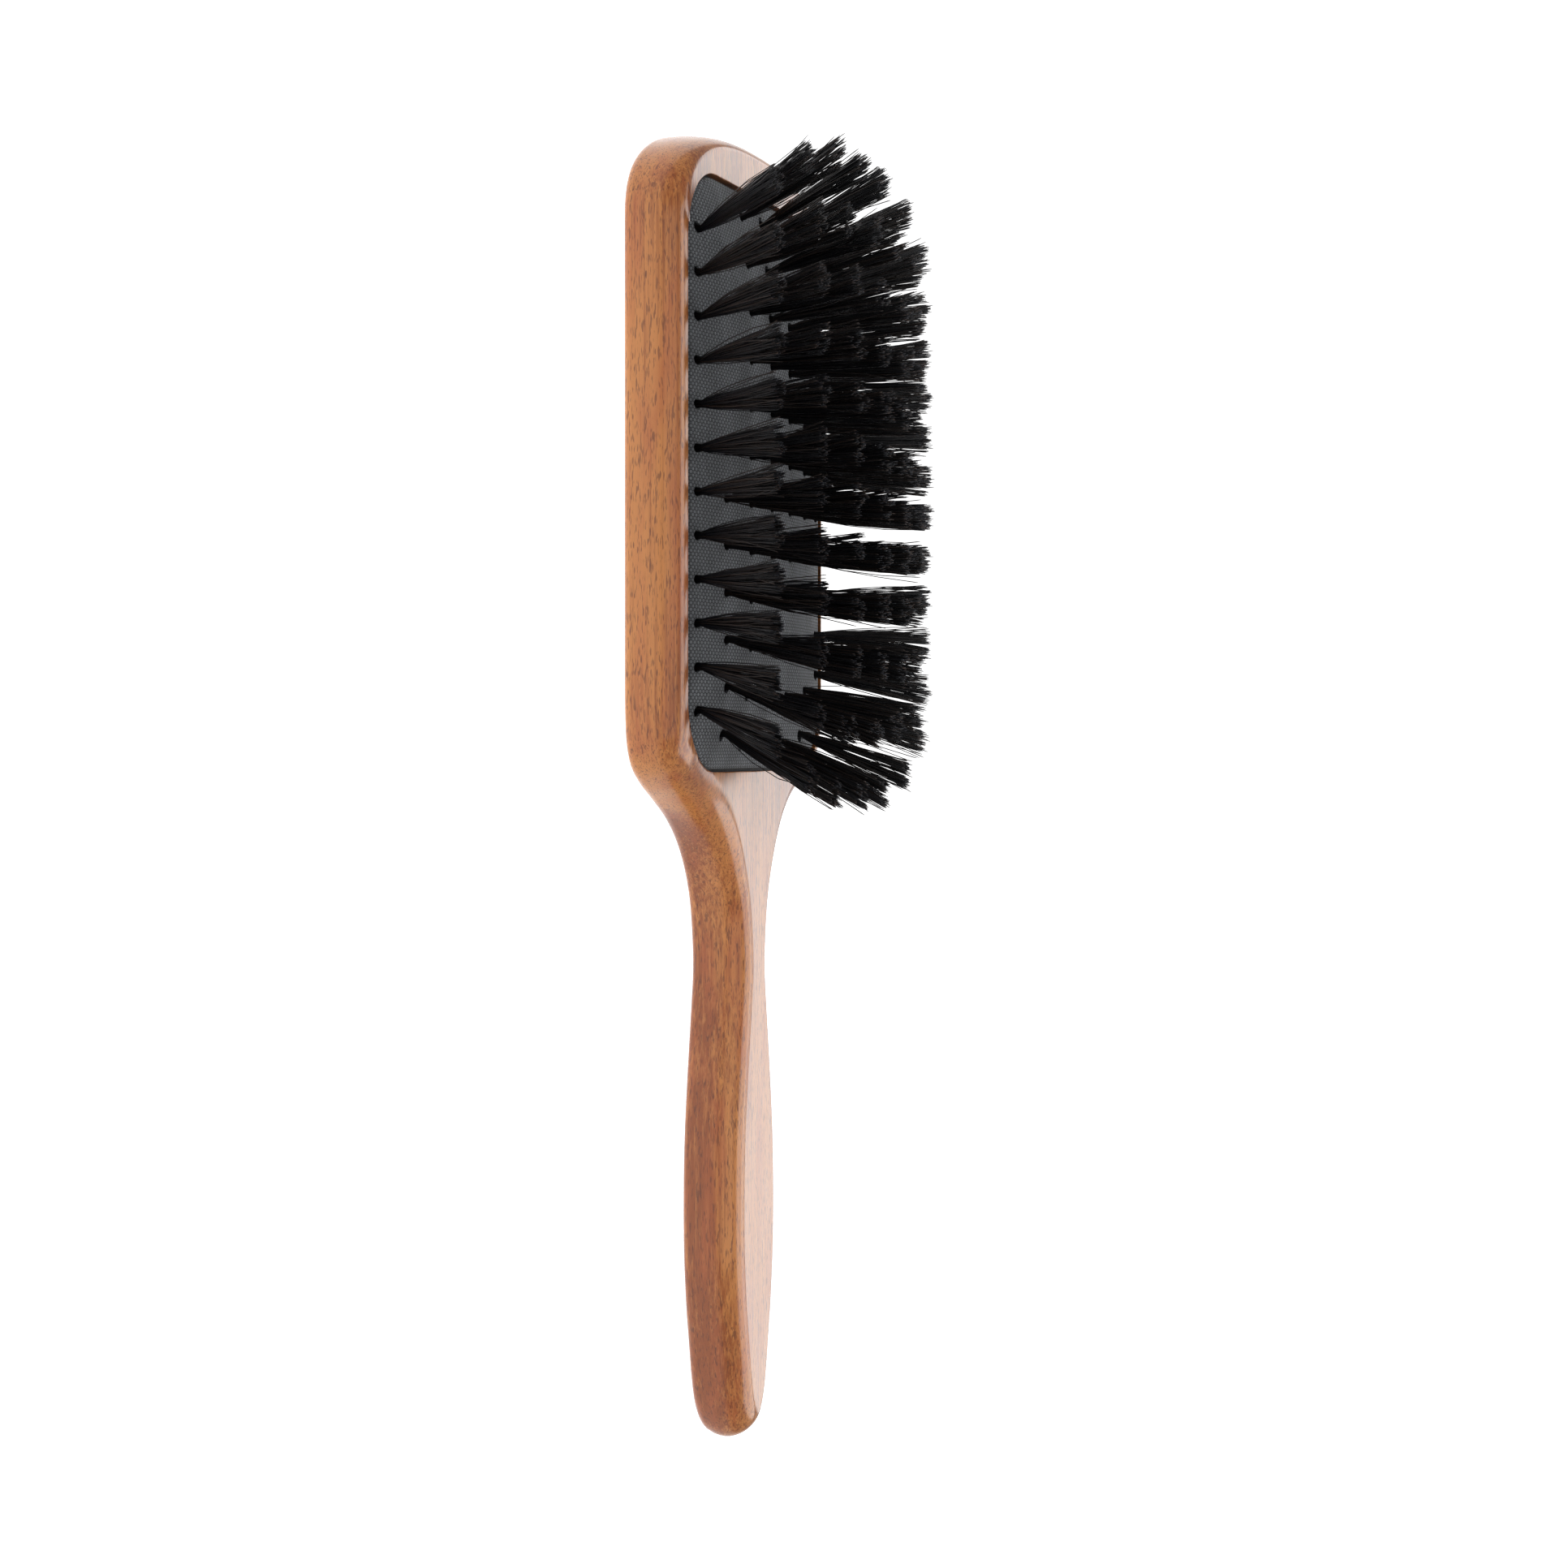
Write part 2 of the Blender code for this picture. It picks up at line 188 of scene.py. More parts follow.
def makeStudio():
    # a dim white world that looks full white behind the brush
    world = bpy.data.worlds.new("studioWorld")
    world.use_nodes = True
    tree = world.node_tree
    backdrop = tree.nodes["Background"]
    backdrop.inputs["Color"].default_value = studio["white"]
    backdrop.inputs["Strength"].default_value = studio["worldGlow"]
    seen = addNode(tree, "ShaderNodeBackground", {"Color": studio["white"], "Strength": 1.0})
    rays = tree.nodes.new("ShaderNodeLightPath")
    either = addNode(tree, "ShaderNodeMixShader", {
        0: rays.outputs["Is Camera Ray"], 1: backdrop.outputs[0], 2: seen.outputs[0],
    })
    tree.links.new(either.outputs[0], tree.nodes["World Output"].inputs["Surface"])
    scene.world = world
    scene.view_settings.view_transform = "Standard"
    deselectAll()
    bpy.ops.mesh.primitive_plane_add(size=studio["floorSize"], location=(0, 0, -studio["floorDrop"]))
    floor = namePiece("studioFloor")
    material, _, shader = newMaterial("paleFloor")
    shader.inputs["Base Color"].default_value = studio["floorTone"]
    shader.inputs["Roughness"].default_value = 0.9
    shader.inputs["Emission Color"].default_value = studio["white"]
    shader.inputs["Emission Strength"].default_value = studio["floorGlow"]
    floor.data.materials.append(material)
    for name, (place, aim, width, height, power) in studio["lights"].items():
        bpy.ops.object.light_add(type="AREA", location=place, rotation=turnTowards(place, aim))
        lamp = bpy.context.object
        lamp.name = name
        lamp.data.shape = "RECTANGLE"
        lamp.data.size = width
        lamp.data.size_y = height
        lamp.data.energy = power
        lamp.visible_diffuse = name not in studio["glossOnly"]


# shader helpers

def newMaterial(name):
    material = bpy.data.materials.new(name)
    material.use_nodes = True
    return material, material.node_tree, material.node_tree.nodes["Principled BSDF"]


def addNode(tree, kind, inputs=None, **settings):
    node = tree.nodes.new(kind)
    for key, value in settings.items():
        setattr(node, key, value)
    for key, value in (inputs or {}).items():
        if hasattr(value, "is_linked"):
            tree.links.new(value, node.inputs[key])
        else:
            node.inputs[key].default_value = value
    return node


def maths(tree, operation, *values):
    node = addNode(tree, "ShaderNodeMath", dict(enumerate(values)), operation=operation)
    return node.outputs[0]


def remap(tree, value, low, high, newLow=0.0, newHigh=1.0):
    node = addNode(tree, "ShaderNodeMapRange", {
        "Value": value, "From Min": low, "From Max": high, "To Min": newLow, "To Max": newHigh,
    })
    return node.outputs["Result"]


def mixColour(tree, blend, factor, first, second):
    node = tree.nodes.new("ShaderNodeMix")
    node.data_type = "RGBA"
    node.blend_type = blend
    for slot, value in ((0, factor), (6, first), (7, second)):
        if hasattr(value, "is_linked"):
            tree.links.new(value, node.inputs[slot])
        else:
            node.inputs[slot].default_value = value
    return node.outputs[2]


def stretchedPoint(tree, scale, place=(0, 0, 0), turn=(0, 0, 0)):
    coordinates = tree.nodes.new("ShaderNodeTexCoord")
    mapping = addNode(tree, "ShaderNodeMapping", {
        "Vector": coordinates.outputs["Object"], "Scale": scale, "Location": place, "Rotation": turn,
    })
    return mapping.outputs["Vector"]


def noiseAt(tree, vector, scale=1.0, detail=3.0, roughness=0.55):
    node = addNode(tree, "ShaderNodeTexNoise", {
        "Vector": vector, "Scale": scale, "Detail": detail, "Roughness": roughness,
    })
    return node.outputs["Fac"]


def bumpFrom(tree, shader, height, distance, strength=1.0):
    node = addNode(tree, "ShaderNodeBump", {"Height": height, "Distance": distance, "Strength": strength})
    tree.links.new(node.outputs["Normal"], shader.inputs["Normal"])


def newGroup(name, inputs, outputs):
    group = bpy.data.node_groups.new(name, "ShaderNodeTree")
    for label, kind, value in inputs:
        socket = group.interface.new_socket(name=label, in_out="INPUT", socket_type=kind)
        if value is not None:
            socket.default_value = value
    for label, kind in outputs:
        group.interface.new_socket(name=label, in_out="OUTPUT", socket_type=kind)
    return group, group.nodes.new("NodeGroupInput"), group.nodes.new("NodeGroupOutput")


def placeGroup(tree, group, inputs):
    return addNode(tree, "ShaderNodeGroup", inputs, node_tree=group)


# effects that several materials share

def makeMottleGroup():
    group, entry, leave = newGroup(
        "softMottle",
        [
            ("Vector", "NodeSocketVector", None), ("Scale", "NodeSocketFloat", 200.0),
            ("Low", "NodeSocketFloat", 0.8), ("High", "NodeSocketFloat", 1.1),
        ],
        [("Value", "NodeSocketFloat")],
    )
    spread = noiseAt(group, entry.outputs["Vector"], entry.outputs["Scale"], 4.0, 0.6)
    value = remap(group, spread, 0.3, 0.7, entry.outputs["Low"], entry.outputs["High"])
    group.links.new(value, leave.inputs["Value"])
    return group


def makeTintGroup():
    # a colour made lighter or darker by a value
    group, entry, leave = newGroup(
        "tintByValue",
        [("Colour", "NodeSocketColor", (0.5, 0.5, 0.5, 1.0)), ("Value", "NodeSocketFloat", 1.0)],
        [("Colour", "NodeSocketColor")],
    )
    tint = addNode(group, "ShaderNodeVectorMath", {0: entry.outputs["Colour"]}, operation="SCALE")
    group.links.new(entry.outputs["Value"], tint.inputs["Scale"])
    group.links.new(tint.outputs["Vector"], leave.inputs["Colour"])
    return group


softMottle = makeMottleGroup()
tintByValue = makeTintGroup()


def mottle(tree, vector, scale, low, high):
    node = placeGroup(tree, softMottle, {"Vector": vector, "Scale": scale, "Low": low, "High": high})
    return node.outputs["Value"]


def tint(tree, colour, value):
    return placeGroup(tree, tintByValue, {"Colour": colour, "Value": value}).outputs["Colour"]


# lacquered beech

beech = {
    "pale": (0.645, 0.243, 0.062, 1.0),
    "deep": (0.320, 0.080, 0.016, 1.0),
    "red": (0.490, 0.122, 0.034, 1.0),
    "fleck": (0.120, 0.032, 0.012, 1.0),
    "ringPitch": 3.4 * mm,
    "coatRoughness": 0.19,
    # how finely each pattern repeats, across, along and through the board
    "broadScale": (70, 9, 70),
    "streakScale": (1700, 30, 1700),
    "poreScale": (4200, 460, 4200),
    "rayScale": (2300, 360, 2300),
    "hueScale": (260, 34, 260),
    "ringScale": (1, 0.045, 1),
    # how strongly each pattern shows
    "broadShare": 0.50,
    "streakShare": 0.50,
    "ringShare": 0.14,
    "redShare": 0.55,
    "poreShade": 0.52,
    "rayShade": 0.80,
    "grainDepth": 0.03 * mm,
}


def makeBeech():
    b = beech
    material, tree, shader = newMaterial("lacqueredBeech")
    broad = noiseAt(tree, stretchedPoint(tree, b["broadScale"]), detail=3.0)
    streaks = noiseAt(tree, stretchedPoint(tree, b["streakScale"]), detail=4.0, roughness=0.65)
    pores = noiseAt(tree, stretchedPoint(tree, b["poreScale"]), detail=1.5, roughness=0.5)
    rays = noiseAt(tree, stretchedPoint(tree, b["rayScale"], (3.0, 1.0, 7.0)), detail=1.0)
    rings = addNode(tree, "ShaderNodeTexWave", {
        "Vector": stretchedPoint(tree, b["ringScale"], (0.009, 0, 0.021)),
        "Scale": 1 / (20 * b["ringPitch"]), "Distortion": 5.0, "Detail": 3.0, "Detail Scale": 1.6,
        "Detail Roughness": 0.6,
    }, wave_type="RINGS", rings_direction="Y")
    hues = noiseAt(tree, stretchedPoint(tree, b["hueScale"], (5.0, 2.0, 1.0)), detail=3.0)
    # the board's tone, from deep to pale, with redder patches
    broadTone = maths(tree, "MULTIPLY", broad, b["broadShare"])
    streakTone = maths(tree, "MULTIPLY", streaks, b["streakShare"])
    ringTone = maths(tree, "MULTIPLY", rings.outputs["Fac"], b["ringShare"])
    tone = maths(tree, "ADD", maths(tree, "ADD", broadTone, streakTone), ringTone)
    colour = mixColour(tree, "MIX", remap(tree, tone, 0.47, 0.63), b["deep"], b["pale"])
    colour = mixColour(tree, "MIX", remap(tree, hues, 0.48, 0.68, 0.0, b["redShare"]), colour, b["red"])
    # dark pores and short ray flecks
    poreMask = remap(tree, pores, 0.57, 0.66)
    rayMask = remap(tree, rays, 0.62, 0.68, 0.0, 0.75)
    colour = mixColour(tree, "MIX", maths(tree, "MULTIPLY", poreMask, b["poreShade"]), colour, b["fleck"])
    colour = mixColour(tree, "MIX", maths(tree, "MULTIPLY", rayMask, b["rayShade"]), colour, b["fleck"])
    tree.links.new(colour, shader.inputs["Base Color"])
    roughness = mottle(tree, stretchedPoint(tree, (1, 0.2, 1)), 300.0, 0.42, 0.56)
    tree.links.new(roughness, shader.inputs["Roughness"])
    shader.inputs["Specular IOR Level"].default_value = 0.12      # the lacquer over it has the gloss
    shader.inputs["Coat Weight"].default_value = 1.0
    shader.inputs["Coat Roughness"].default_value = b["coatRoughness"]
    shader.inputs["Coat IOR"].default_value = 1.5
    raised = maths(tree, "MULTIPLY", streaks, 0.5)
    sunk = maths(tree, "MULTIPLY", poreMask, 0.5)
    bumpFrom(tree, shader, maths(tree, "SUBTRACT", raised, sunk), b["grainDepth"], 0.6)
    return material


# woven cushion textile

weave = {
    "pitch": 0.60 * mm,          # from one thread to the next
    "thread": (0.088, 0.095, 0.106, 1.0),
    "lightThread": (0.245, 0.259, 0.280, 1.0),
    "gapPaintedShade": 0.10,
    "wander": 0.35,              # how far a thread strays from its line, in pitches
    "depth": 0.12 * mm,
}


def makeTextile():
    material, tree, shader = newMaterial("cushionTextile")
    threads = stretchedPoint(tree, (1 / weave["pitch"], 1 / weave["pitch"], 1.0), (0.5, 0.5, 0))
    wobble = addNode(tree, "ShaderNodeTexNoise", {"Vector": threads, "Scale": 0.35, "Detail": 2.0})
    middle = {0: wobble.outputs["Color"], 1: (0.5, 0.5, 0.5)}
    wander = addNode(tree, "ShaderNodeVectorMath", middle, operation="SUBTRACT")
    stray = {0: wander.outputs[0], "Scale": weave["wander"]}
    pushed = addNode(tree, "ShaderNodeVectorMath", stray, operation="SCALE")
    place = addNode(tree, "ShaderNodeVectorMath", {0: threads, 1: pushed.outputs[0]}, operation="ADD")
    split = addNode(tree, "ShaderNodeSeparateXYZ", {0: place.outputs[0]})
    across, along = split.outputs["X"], split.outputs["Y"]
    warp = maths(tree, "ABSOLUTE", maths(tree, "SINE", maths(tree, "MULTIPLY", across, math.pi)))
    weft = maths(tree, "ABSOLUTE", maths(tree, "SINE", maths(tree, "MULTIPLY", along, math.pi)))
    cells = maths(tree, "ADD", maths(tree, "FLOOR", across), maths(tree, "FLOOR", along))
    over = maths(tree, "FLOORED_MODULO", cells, 2.0)
    warpHeight = maths(tree, "MULTIPLY", warp, remap(tree, weft, 0.0, 1.0, 0.4, 1.0))
    weftHeight = maths(tree, "MULTIPLY", weft, remap(tree, warp, 0.0, 1.0, 0.4, 1.0))
    lifted = maths(tree, "MULTIPLY", warpHeight, over)
    lowered = maths(tree, "MULTIPLY", weftHeight, maths(tree, "SUBTRACT", 1.0, over))
    height = maths(tree, "ADD", lifted, lowered)
    slub = noiseAt(tree, stretchedPoint(tree, (2600, 260, 900)), detail=2.0)
    colour = mixColour(tree, "MIX", over, weave["thread"], weave["lightThread"])
    # painted shade: the colour darkens to a tenth in the gaps between threads; slub and mottle then vary
    # the tone at random
    shade = remap(tree, height, 0.05, 0.75, weave["gapPaintedShade"], 1.0)
    shade = maths(tree, "MULTIPLY", shade, remap(tree, slub, 0.3, 0.7, 0.75, 1.25))
    shade = maths(tree, "MULTIPLY", shade, mottle(tree, stretchedPoint(tree, (1, 1, 1)), 60.0, 0.85, 1.12))
    tree.links.new(tint(tree, colour, shade), shader.inputs["Base Color"])
    tree.links.new(remap(tree, height, 0.0, 1.0, 0.95, 0.72), shader.inputs["Roughness"])
    shader.inputs["Specular IOR Level"].default_value = 0.25
    shader.inputs["Sheen Weight"].default_value = 0.20
    shader.inputs["Sheen Roughness"].default_value = 0.5
    bumpFrom(tree, shader, height, weave["depth"])
    return material


# rubber, bristle and steel

rubber = {
    "black": (0.018, 0.018, 0.019, 1.0),
}

bristle = {
    "black": (0.0030, 0.0033, 0.0050, 1.0),
    "brown": (0.024, 0.015, 0.011, 1.0),
    "roughness": (0.34, 0.52),
    "gloss": 0.22,
    "cutEndPaintedHighlight": 4.0,          # painted highlight: the cut ends are lightened in colour as if they catch the light
}

steel = {
    "bright": (0.56, 0.55, 0.53, 1.0),
}


def makeRubber():
    material, tree, shader = newMaterial("cushionRubber")
    grain = noiseAt(tree, stretchedPoint(tree, (2400, 2400, 2400)), detail=3.0)
    colour = tint(tree, rubber["black"], mottle(tree, stretchedPoint(tree, (1, 1, 1)), 110.0, 0.75, 1.5))
    tree.links.new(colour, shader.inputs["Base Color"])
    tree.links.new(remap(tree, grain, 0.3, 0.7, 0.55, 0.75), shader.inputs["Roughness"])
    bumpFrom(tree, shader, grain, 0.04 * mm)
    return material


def makeBristle():
    material, tree, shader = newMaterial("darkBristle")
    shade = addNode(tree, "ShaderNodeAttribute", attribute_name="strandShade").outputs["Fac"]
    along = addNode(tree, "ShaderNodeAttribute", attribute_name="strandAlong").outputs["Fac"]
    colour = mixColour(tree, "MIX", remap(tree, shade, 0.45, 1.0), bristle["black"], bristle["brown"])
    # painted highlight: over the last two hundredths of each strand the colour grows up to four times
    # lighter
    colour = tint(tree, colour, remap(tree, along, 0.98, 1.0, 1.0, bristle["cutEndPaintedHighlight"]))
    tree.links.new(colour, shader.inputs["Base Color"])
    shader.inputs["Specular IOR Level"].default_value = bristle["gloss"]
    roughness = mottle(tree, stretchedPoint(tree, (1, 1, 0.2)), 900.0, *bristle["roughness"])
    tree.links.new(roughness, shader.inputs["Roughness"])
    return material


def makeSteel():
    material, tree, shader = newMaterial("steelWire")
    drawn = noiseAt(tree, stretchedPoint(tree, (120, 5000, 5000)), detail=3.0)
    colour = tint(tree, steel["bright"], remap(tree, drawn, 0.3, 0.7, 0.8, 1.1))
    tree.links.new(colour, shader.inputs["Base Color"])
    roughness = mottle(tree, stretchedPoint(tree, (0.1, 1, 1)), 4000.0, 0.25, 0.42)
    tree.links.new(roughness, shader.inputs["Roughness"])
    shader.inputs["Metallic"].default_value = 1.0
    bumpFrom(tree, shader, drawn, 0.01 * mm)
    return material


# wooden body

bodyLow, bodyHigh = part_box("wooden_body")

woodenBody = {
    "board": bodyHigh.z,
    "headHalf": bodyHigh.x,
    "headTop": bodyHigh.y,
    "headCrown": 20.0 * mm,
    "headPower": 2.45,
    "buttEnd": bodyLow.y,
    "buttRound": 12.2 * mm,
    "buttHalf": 6.95 * mm,
    "buttPower": 2.6,
    "buttTaper": 0.33,
    "buttRoll": 4.5 * mm,        # the tip is drawn in this far at the back and the front
    "buttReach": 17.0 * mm,
    # half width and station down the shoulder, neck and handle, in mm
    "sidePoints": (
        (39.5, -36.0), (39.5, -41.0), (39.3, -46.3), (38.6, -51.0), (36.5, -55.2), (32.2, -58.5),
        (26.5, -61.5), (20.3, -65.0), (15.0, -69.3), (11.0, -74.4), (8.3, -80.0), (6.9, -86.0),
        (6.2, -94.0), (7.1, -101.5), (9.15, -115.0), (10.6, -127.0), (11.1, -139.0), (10.85, -150.0),
        (9.75, -160.0), (8.85, -165.0), (7.9, -170.0),
    ),
    "sideSteps": 6,
    "endSteps": 22,
    "outlineSpacing": 1.15 * mm,
    "sideTop": 2.0 * mm,         # the side stands square up to here
    "sideBand": 0.2 * mm,        # height of its square band
    "frontInset": 3.4 * mm,      # how far the front edge is rounded in
    "frontSteps": 14,
    "frontPower": 2.2,
    "shoulderEase": 3.4 * mm,    # the front edge is rounded this much further in on the shoulder
    "shoulderPlace": -62.0 * mm,
    "shoulderReach": 9.0 * mm,
    "backInset": 1.7 * mm,
    "backSteps": 5,
    "pocketHalf": (36.3 * mm, 55.8 * mm),
    "pocketCorner": 13.3 * mm,
    "cornerSteps": 20,
    "pocketFloor": 4.2 * mm,
    "groove": (8.3 * mm, 10.2 * mm, 1.3 * mm),      # low, high, depth
    "mouthBevel": 0.25 * mm,
    "cutterOver": 3.0 * mm,      # the pocket's cutter stands this far over the board
}


def smoothThrough(points, steps):
    # a smooth curve through every point but the first and last
    curve = []
    for a, b, c, d in zip(points, points[1:], points[2:], points[3:]):
        for k in range(steps):
            t = k / steps
            curve.append(0.5 * (2 * b + (c - a) * t + (2 * a - 5 * b + 4 * c - d) * t * t
                                + (3 * b - a - 3 * c + d) * t ** 3))
    return curve


def endCurve(halfWidth, base, length, power, steps, taper=0.0):
    # a quarter of a superellipse, from the centre line round to the side
    curve = []
    for k in range(steps):
        angle = math.pi / 2 * k / steps
        across = math.sin(angle) ** (2 / power) if k else 0.0
        along = math.cos(angle) ** (2 / power)
        curve.append(np.array((halfWidth * across * (1 - taper * along), base + length * along)))
    return curve


def bodyOutline():
    w = woodenBody
    base = w["headTop"] - w["headCrown"]
    right = endCurve(w["headHalf"], base, w["headCrown"], w["headPower"], w["endSteps"])
    right.append(np.array((w["headHalf"], base)))
    guides = [np.array(point) * mm for point in w["sidePoints"]]
    buttBase = w["buttEnd"] + w["buttRound"]
    guides += [np.array((w["buttHalf"], buttBase)), np.array((w["buttHalf"] * 0.6, w["buttEnd"] + 2 * mm))]
    right += smoothThrough(guides, w["sideSteps"])
    right.append(np.array((w["buttHalf"], buttBase)))
    butt = endCurve(w["buttHalf"], buttBase, -w["buttRound"], w["buttPower"], w["endSteps"], w["buttTaper"])
    right += butt[::-1]
    left = [np.array((-point[0], point[1])) for point in right[1:-1][::-1]]
    return np.array((right + left)[::-1])


def frontRounding(share):
    # how far the front edge is drawn in at this share of its height
    power = woodenBody["frontPower"]
    return 1.0 - max(0.0, 1.0 - share ** power) ** (1 / power)


def easeShoulder(points, outline):
    # the rounding widens where the paddle turns into the neck
    w = woodenBody
    alongEdge = np.roll(outline, -1, axis=0) - np.roll(outline, 1, axis=0)
    inward = np.stack((-alongEdge[:, 1], alongEdge[:, 0]), axis=1)
    inward /= np.linalg.norm(inward, axis=1)[:, None]
    inward *= np.sign(np.sum(-inward * outline * (1, 0), axis=1))[:, None]
    share = np.clip((points[:, 2] - w["sideTop"]) / (w["board"] - w["sideTop"]), 0, 1)
    for index in np.flatnonzero(share > 0):
        place = points[index, :2]
        nearest = int(np.argmin(np.sum((outline - place) ** 2, axis=1)))
        offset = (outline[nearest, 1] - w["shoulderPlace"]) / w["shoulderReach"]
        extra = w["shoulderEase"] * math.exp(-offset ** 2) * frontRounding(share[index])
        points[index, :2] = place + inward[nearest] * extra
    return points


def rollButt(points):
    # the tip is drawn in towards the back and the front, half round through the board
    w = woodenBody
    offMiddle = np.clip(2 * points[:, 2] / w["board"] - 1, -1, 1)
    draw = w["buttRoll"] * (1 - np.sqrt(1 - offMiddle ** 2))
    intoButt = np.clip((w["buttEnd"] + w["buttReach"] - points[:, 1]) / w["buttReach"], 0, 1)
    points[:, 1] += draw * intoButt ** 2
    return points


def evenlySpaced(outline, spacing):
    # the same closed outline with its points a steady distance apart
    closed = np.vstack((outline, outline[:1]))
    walked = np.concatenate(([0.0], np.cumsum(np.linalg.norm(np.diff(closed, axis=0), axis=1))))
    count = int(walked[-1] / spacing)
    stops = walked[-1] * np.arange(count) / count
    x = np.interp(stops, walked, closed[:, 0])
    y = np.interp(stops, walked, closed[:, 1])
    return np.stack((x, y), axis=1)


def boxWithRoundCorners(name, halfWidth, halfLength, corner, low, high):
    deselectAll()
    bpy.ops.mesh.primitive_cube_add(size=1.0, location=(0, 0, (low + high) / 2))
    piece = namePiece(name)
    piece.scale = (2 * halfWidth, 2 * halfLength, high - low)
    settle(piece)
    points = getPoints(piece)

    def isUpright(edge):
        first, second = edge.vertices
        return abs(points[first][2] - points[second][2]) > mm / 2

    selectWhere(piece, "EDGE", isUpright)
    steps = woodenBody["cornerSteps"]
    bpy.ops.mesh.bevel(offset=corner, offset_type="OFFSET", segments=steps, affect="EDGES", profile=0.5)
    bpy.ops.object.mode_set(mode="OBJECT")
    return piece


def insetStep(inward, upward):
    bpy.ops.mesh.inset(thickness=inward, depth=upward, use_boundary=True, use_even_offset=True)


def makeWoodenBody():
    w = woodenBody
    outline = evenlySpaced(bodyOutline(), w["outlineSpacing"])
    deselectAll()
    bpy.ops.mesh.primitive_circle_add(
        vertices=len(outline), radius=1.0, fill_type="NGON", location=(0, 0, 0))
    piece = namePiece("woodenBody")
    setPoints(piece, np.column_stack((outline, np.full(len(outline), w["sideTop"]))))
    makeActive(piece)
    bpy.ops.object.mode_set(mode="EDIT")
    bpy.ops.mesh.select_all(action="SELECT")
    bpy.ops.mesh.normals_make_consistent(inside=False)
    bpy.ops.mesh.extrude_region_move(TRANSFORM_OT_translate={"value": (0, 0, -w["sideBand"])})
    bpy.ops.mesh.select_all(action="SELECT")
    bpy.ops.mesh.normals_make_consistent(inside=False)
    bpy.ops.object.mode_set(mode="OBJECT")
    # front edge: a slow rounding that steepens towards the side
    selectWhere(piece, "FACE", lambda face: face.normal.z > 0.9)
    rise = w["board"] - w["sideTop"]
    height = inset = 0.0
    for k in range(1, w["frontSteps"] + 1):
        share = math.sin(math.pi / 2 * k / w["frontSteps"])
        inward = w["frontInset"] * frontRounding(share)
        insetStep(inward - inset, rise * share - height)
        inset = inward
        height = rise * share
    bpy.ops.object.mode_set(mode="OBJECT")
    # back edge: a plain quarter round
    selectWhere(piece, "FACE", lambda face: face.normal.z < -0.9)
    drop = w["sideTop"] - w["sideBand"]
    height = inset = 0.0
    for k in range(1, w["backSteps"] + 1):
        angle = math.pi / 2 * k / w["backSteps"]
        inward = w["backInset"] * (1 - math.cos(angle))
        insetStep(inward - inset, drop * math.sin(angle) - height)
        inset = inward
        height = drop * math.sin(angle)
    bpy.ops.object.mode_set(mode="OBJECT")
    setPoints(piece, rollButt(easeShoulder(getPoints(piece), outline)))
    halfWidth, halfLength = w["pocketHalf"]
    corner = w["pocketCorner"]
    low, high, depth = w["groove"]
    top = w["board"] + w["cutterOver"]
    floor = w["pocketFloor"]
    cutWith(piece, boxWithRoundCorners("pocketCutter", halfWidth, halfLength, corner, floor, top))
    cutWith(piece, boxWithRoundCorners(
        "grooveCutter", halfWidth + depth, halfLength + depth, corner + depth, low, high))
    points = getPoints(piece)

    def onMouth(index):
        x, y, z = points[index]
        return z > w["groove"][1] + mm and abs(pocketDepth(x, y)) < 0.03 * mm

    selectWhere(piece, "EDGE", lambda edge: onMouth(edge.vertices[0]) and onMouth(edge.vertices[1]))
    bpy.ops.mesh.bevel(offset=w["mouthBevel"], segments=2, affect="EDGES", profile=0.5)
    bpy.ops.object.mode_set(mode="OBJECT")
    smoothByAngle(piece, 35)
    weighted = piece.modifiers.new("faceWeights", "WEIGHTED_NORMAL")
    weighted.keep_sharp = True
    applyModifiers(piece)
    dress(piece, materials["beech"], "lacquered_beech", "brush_body", "wooden_body")
    return piece


# cushion: a woven face over a rubber diaphragm, both pierced for the tufts

cushion = {
    "halfWidth": 36.0 * mm,
    "halfLength": 55.5 * mm,
    "corner": 13.0 * mm,
    "edgeHeight": 11.6 * mm,
    "rise": 3.3 * mm,
    "domePower": 2.2,
    "faceThick": 0.5 * mm,
    "faceDrawnIn": 0.35 * mm,
    "edgeRoll": 0.7 * mm,        # the face turns down over this width at its edge
    "edgeRollDrop": 0.35 * mm,
    "rubberThick": 1.25 * mm,
    "rubberDrawnIn": 0.2 * mm,
    "rubberGap": 0.3 * mm,       # between the face and the rubber
    "rimDip": 0.15 * mm,
    "rimDrop": 0.75 * mm,        # the rubber's rim turns down this far, then out into the groove
    "rimReach": 1.0 * mm,
    "holeRadius": 0.95 * mm,
    "leanRoom": 1.7 * mm,        # a leaning tuft may sink this far through its hole
    "dimple": 0.30 * mm,
    "dimpleReach": 1.7 * mm,
    "cutterDrop": 2.0 * mm,      # middle of the hole cutters under the dome's top
    "cutterDepth": 12.0 * mm,
    "meshSize": 0.82 * mm,
    "smoothAngle": 50,
    "pressAnchor": (0.0, 0.0, 8.6 * mm),
    "pressKeep": 0.524,          # the dome keeps this share of its height when fully pressed
}

